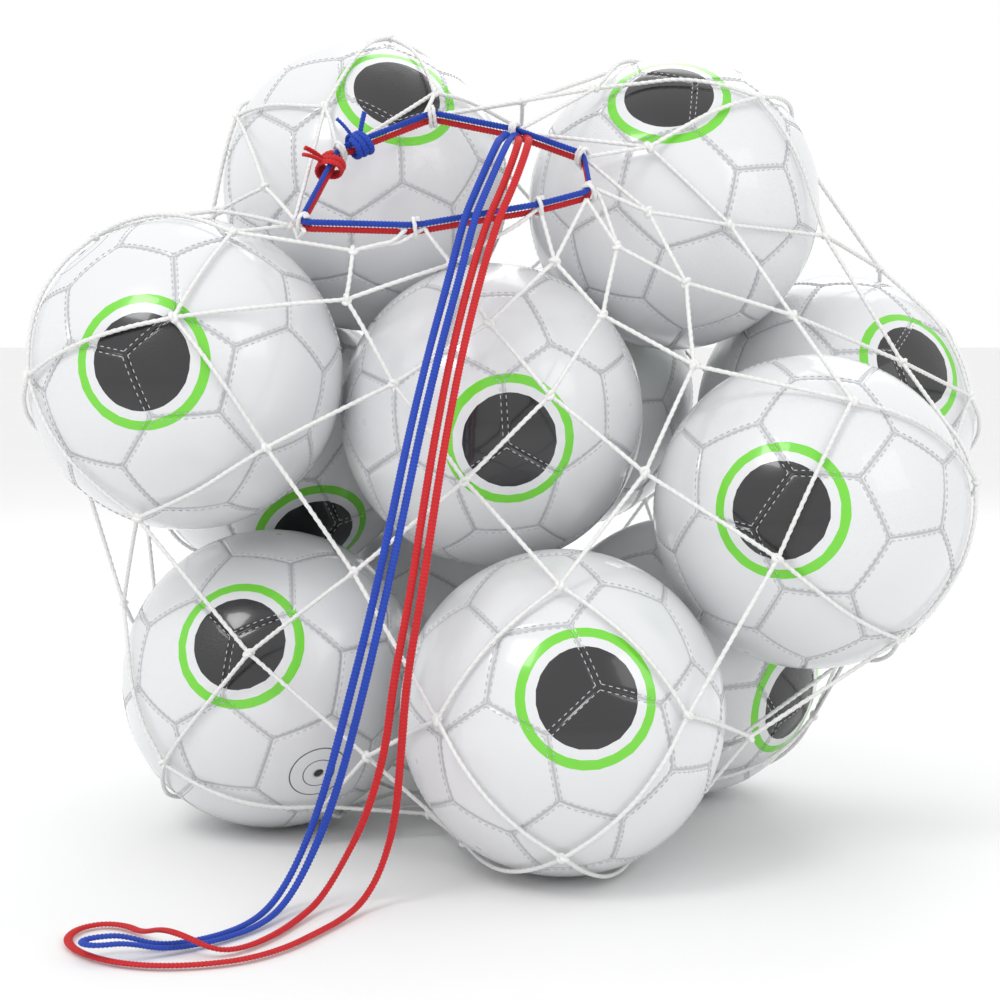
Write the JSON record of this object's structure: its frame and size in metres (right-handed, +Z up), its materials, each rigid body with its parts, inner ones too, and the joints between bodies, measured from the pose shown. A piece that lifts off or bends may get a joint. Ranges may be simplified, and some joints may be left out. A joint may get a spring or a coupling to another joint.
{
  "type": "mesh ball bag",
  "caption": "Knotted mesh carry bag filled with footballs, its mouth drawn in by two drawcords that hang down the front and lie on the floor.",
  "frame": {"origin": "on the floor, under the middle of the filled bag without its pulled-out drawcords", "axes": "+Z up, -Y towards the bag's front, where its mouth faces and its drawcords hang, +X to the right as seen from the front"},
  "size_m": [0.7091, 0.6842, 0.5926],
  "materials": {
    "net_twine": "white braided synthetic twine, slightly fuzzy",
    "drawcord_blue": "flat ribbed braid",
    "drawcord_red": "flat ribbed braid",
    "ball_cover": null,
    "ball_bladder": "smooth rubber, hidden",
    "ball_valve": "matt rubber"
  },
  "bodies": {
    "net": {"drawcord_bight_blue": "drawcord_blue", "drawcord_bight_red": "drawcord_red", "drawcord_ring_blue": "drawcord_blue", "drawcord_ring_red": "drawcord_red", "net_bars_01_02": "net_twine", "net_bars_03_04": "net_twine", "net_bars_05_06": "net_twine", "net_bars_07_08": "net_twine", "net_bars_09_10": "net_twine", "net_bottom_gather": "net_twine", "net_knots_lower": "net_twine", "net_knots_upper": "net_twine", "net_mouth_bars": "net_twine", "mouth_loop_exit": "net_twine"},
    "mouth_left": {"mouth_loop_left": "net_twine"},
    "mouth_front_left": {"mouth_loop_front_left": "net_twine"},
    "mouth_knot": {"mouth_loop_knot": "net_twine", "drawcord_knot_blue": "drawcord_blue", "drawcord_knot_red": "drawcord_red"},
    "mouth_back": {"mouth_loop_back": "net_twine"},
    "mouth_right_back": {"mouth_loop_right_back": "net_twine"},
    "mouth_right": {"mouth_loop_right": "net_twine"},
    "mouth_front_right": {"mouth_loop_front_right": "net_twine"},
    "ball_01": {"ball_01_cover": "ball_cover", "ball_01_bladder": "ball_bladder", "ball_01_valve": "ball_valve"},
    "ball_02": {"ball_02_cover": "ball_cover", "ball_02_bladder": "ball_bladder", "ball_02_valve": "ball_valve"},
    "ball_03": {"ball_03_cover": "ball_cover", "ball_03_bladder": "ball_bladder", "ball_03_valve": "ball_valve"},
    "ball_04": {"ball_04_cover": "ball_cover", "ball_04_bladder": "ball_bladder", "ball_04_valve": "ball_valve"},
    "ball_05": {"ball_05_cover": "ball_cover", "ball_05_bladder": "ball_bladder", "ball_05_valve": "ball_valve"},
    "ball_06": {"ball_06_cover": "ball_cover", "ball_06_bladder": "ball_bladder", "ball_06_valve": "ball_valve"},
    "ball_07": {"ball_07_cover": "ball_cover", "ball_07_bladder": "ball_bladder", "ball_07_valve": "ball_valve"},
    "ball_08": {"ball_08_cover": "ball_cover", "ball_08_bladder": "ball_bladder", "ball_08_valve": "ball_valve"},
    "ball_09": {"ball_09_cover": "ball_cover", "ball_09_bladder": "ball_bladder", "ball_09_valve": "ball_valve"},
    "ball_10": {"ball_10_cover": "ball_cover", "ball_10_bladder": "ball_bladder", "ball_10_valve": "ball_valve"},
    "ball_11": {"ball_11_cover": "ball_cover", "ball_11_bladder": "ball_bladder", "ball_11_valve": "ball_valve"},
    "ball_12": {"ball_12_cover": "ball_cover", "ball_12_bladder": "ball_bladder", "ball_12_valve": "ball_valve"}
  },
  "joints": [
    {"name": "mouth_left_slide", "type": "slide", "parent": "net", "child": "mouth_left", "axis": [0.847, 0.3557, 0.395], "range_m": [0, 0.0856], "deforming": ["drawcord_ring_blue", "drawcord_ring_red", "net_mouth_bars"]},
    {"name": "mouth_front_left_slide", "type": "slide", "parent": "net", "child": "mouth_front_left", "axis": [0.5804, 0.5449, 0.6052], "range_m": [0, 0.05777]},
    {"name": "mouth_knot_slide", "type": "slide", "parent": "net", "child": "mouth_knot", "axis": [0.9868, 0.1082, 0.1202], "range_m": [0, 0.06187]},
    {"name": "mouth_back_slide", "type": "slide", "parent": "net", "child": "mouth_back", "axis": [0.9596, -0.1882, -0.209], "range_m": [0, 0.03027]},
    {"name": "mouth_right_back_slide", "type": "slide", "parent": "net", "child": "mouth_right_back", "axis": [-0.8869, 0.3091, 0.3433], "range_m": [0, 0.02711]},
    {"name": "mouth_right_slide", "type": "slide", "parent": "net", "child": "mouth_right", "axis": [-0.6487, 0.5092, 0.5655], "range_m": [0, 0.04013]},
    {"name": "mouth_front_right_slide", "type": "slide", "parent": "net", "child": "mouth_front_right", "axis": [-0.2239, 0.6521, 0.7243], "range_m": [0, 0.03802]},
    {"name": "ball_01_turn", "type": "hinge", "parent": "net", "child": "ball_01", "pos_m": [0.02, -0.18, 0.11], "axis": [0, 0, 1], "continuous": true},
    {"name": "ball_02_turn", "type": "hinge", "parent": "net", "child": "ball_02", "pos_m": [-0.19, -0.05, 0.11], "axis": [0, 0, 1], "continuous": true},
    {"name": "ball_03_turn", "type": "hinge", "parent": "net", "child": "ball_03", "pos_m": [0.12, 0.05, 0.11], "axis": [0, 0, 1], "continuous": true},
    {"name": "ball_04_turn", "type": "hinge", "parent": "net", "child": "ball_04", "pos_m": [-0.065, 0.175, 0.11], "axis": [0, 0, 1], "continuous": true},
    {"name": "ball_05_turn", "type": "hinge", "parent": "net", "child": "ball_05", "pos_m": [0.19481, -0.12076, 0.23978], "axis": [0, 0, 1], "continuous": true},
    {"name": "ball_06_turn", "type": "hinge", "parent": "net", "child": "ball_06", "pos_m": [-0.2, 0.105, 0.275], "axis": [0, 0, 1], "continuous": true},
    {"name": "ball_07_turn", "type": "hinge", "parent": "net", "child": "ball_07", "pos_m": [0.24568, 0.086, 0.29963], "axis": [0, 0, 1], "continuous": true},
    {"name": "ball_08_turn", "type": "hinge", "parent": "net", "child": "ball_08", "pos_m": [-0.02799, -0.05957, 0.30471], "axis": [0, 0, 1], "continuous": true},
    {"name": "ball_09_turn", "type": "hinge", "parent": "net", "child": "ball_09", "pos_m": [0.03, 0.165, 0.31], "axis": [0, 0, 1], "continuous": true},
    {"name": "ball_10_turn", "type": "hinge", "parent": "net", "child": "ball_10", "pos_m": [-0.24201, -0.10543, 0.33529], "axis": [0, 0, 1], "continuous": true},
    {"name": "ball_11_turn", "type": "hinge", "parent": "net", "child": "ball_11", "pos_m": [0.1095, 0.01976, 0.46059], "axis": [0, 0, 1], "continuous": true},
    {"name": "ball_12_turn", "type": "hinge", "parent": "net", "child": "ball_12", "pos_m": [-0.125, 0.045, 0.475], "axis": [0, 0, 1], "continuous": true}
  ],
  "couplings": [
    {"joint": "mouth_front_left_slide", "follows": "mouth_left_slide", "ratio": 0.6743},
    {"joint": "mouth_knot_slide", "follows": "mouth_left_slide", "ratio": 0.72217},
    {"joint": "mouth_back_slide", "follows": "mouth_left_slide", "ratio": 0.35306},
    {"joint": "mouth_right_back_slide", "follows": "mouth_left_slide", "ratio": 0.31614},
    {"joint": "mouth_right_slide", "follows": "mouth_left_slide", "ratio": 0.46823},
    {"joint": "mouth_front_right_slide", "follows": "mouth_left_slide", "ratio": 0.44353}
  ]
}
